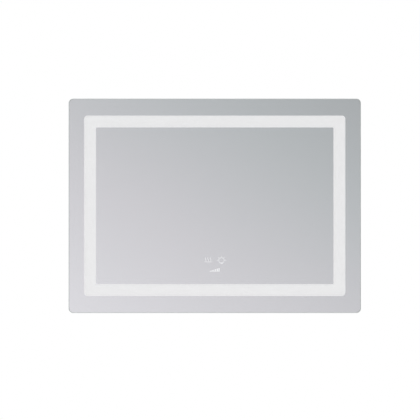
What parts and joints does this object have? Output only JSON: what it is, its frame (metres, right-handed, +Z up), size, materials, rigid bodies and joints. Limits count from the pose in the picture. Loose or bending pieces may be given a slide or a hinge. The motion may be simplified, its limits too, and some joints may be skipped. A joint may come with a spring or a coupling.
{
  "type": "lighted bathroom mirror",
  "caption": "Rectangular wall mirror with rounded corners, a frosted light band inset from its edge, touch marks low in the centre, and a shallow rear chassis that hangs on a wall cleat.",
  "frame": {"origin": "middle of the wall cleat's screw line, on the wall plane", "axes": "+X to the right as seen by someone facing the mirror, +Y into the wall, +Z up"},
  "size_m": [0.762, 0.043, 0.559],
  "materials": {
    "float_glass": "gloss",
    "silvering": "gloss",
    "anodised_aluminium": "satin",
    "zinc_steel": "satin",
    "screw_steel": "gloss",
    "foam_tape": "matte",
    "black_rubber": "matte",
    "opal_acrylic": "matte",
    "white_sheet": "matte",
    "strip_board": "satin",
    "circuit_board": "satin",
    "board_parts": "satin",
    "white_plastic": "satin",
    "black_plastic": "satin",
    "terminal_brass": "satin",
    "heating_film": "satin",
    "heating_track": "satin",
    "lead_jacket": "satin"
  },
  "bodies": {
    "wall_cleat": {"wall_cleat": "anodised_aluminium"},
    "mirror": {"back_panel": "zinc_steel", "bonding_tape": "foam_tape", "cable_grommet": "black_rubber", "corner_bracket_bottom_left": "zinc_steel", "corner_bracket_bottom_right": "zinc_steel", "corner_bracket_top_left": "zinc_steel", "corner_bracket_top_right": "zinc_steel", "cover_screws": "screw_steel", "defogger_pad": "heating_film", "defogger_track": "heating_track", "diffuser_bottom": "opal_acrylic", "diffuser_left": "opal_acrylic", "diffuser_right": "opal_acrylic", "diffuser_top": "opal_acrylic", "driver_base": "white_plastic", "driver_board": "circuit_board", "driver_components": "board_parts", "driver_cover": "white_plastic", "glass_sheet": "float_glass", "lead_bushings": "black_rubber", "lead_clips": "white_plastic", "led_leads": "lead_jacket", "led_strip_bottom": "strip_board", "led_strip_left": "strip_board", "led_strip_right": "strip_board", "led_strip_top": "strip_board", "module_screws": "screw_steel", "pad_lead": "lead_jacket", "panel_cleat": "anodised_aluminium", "panel_ribs": "zinc_steel", "panel_rivets": "anodised_aluminium", "panel_screws": "screw_steel", "rail_bottom": "anodised_aluminium", "rail_left": "anodised_aluminium", "rail_right": "anodised_aluminium", "rail_top": "anodised_aluminium", "reflector_bottom": "white_sheet", "reflector_left": "white_sheet", "reflector_right": "white_sheet", "reflector_top": "white_sheet", "relay_base": "white_plastic", "relay_board": "circuit_board", "relay_components": "board_parts", "relay_cover": "white_plastic", "silver_border": "silvering", "silver_centre": "silvering", "supply_leads": "lead_jacket", "terminal_block": "black_plastic", "terminal_screws": "terminal_brass", "touch_board": "circuit_board", "touch_case": "black_plastic", "touch_leads": "lead_jacket", "touch_lid": "black_plastic", "touch_window": "opal_acrylic", "wall_bumpers": "black_rubber", "wiring_box": "zinc_steel", "wiring_cover": "zinc_steel"}
  },
  "joints": [
    {"name": "lift_off", "type": "slide", "parent": "wall_cleat", "child": "mirror", "axis": [0, 0, 1], "range_m": [0, 0.02]}
  ]
}
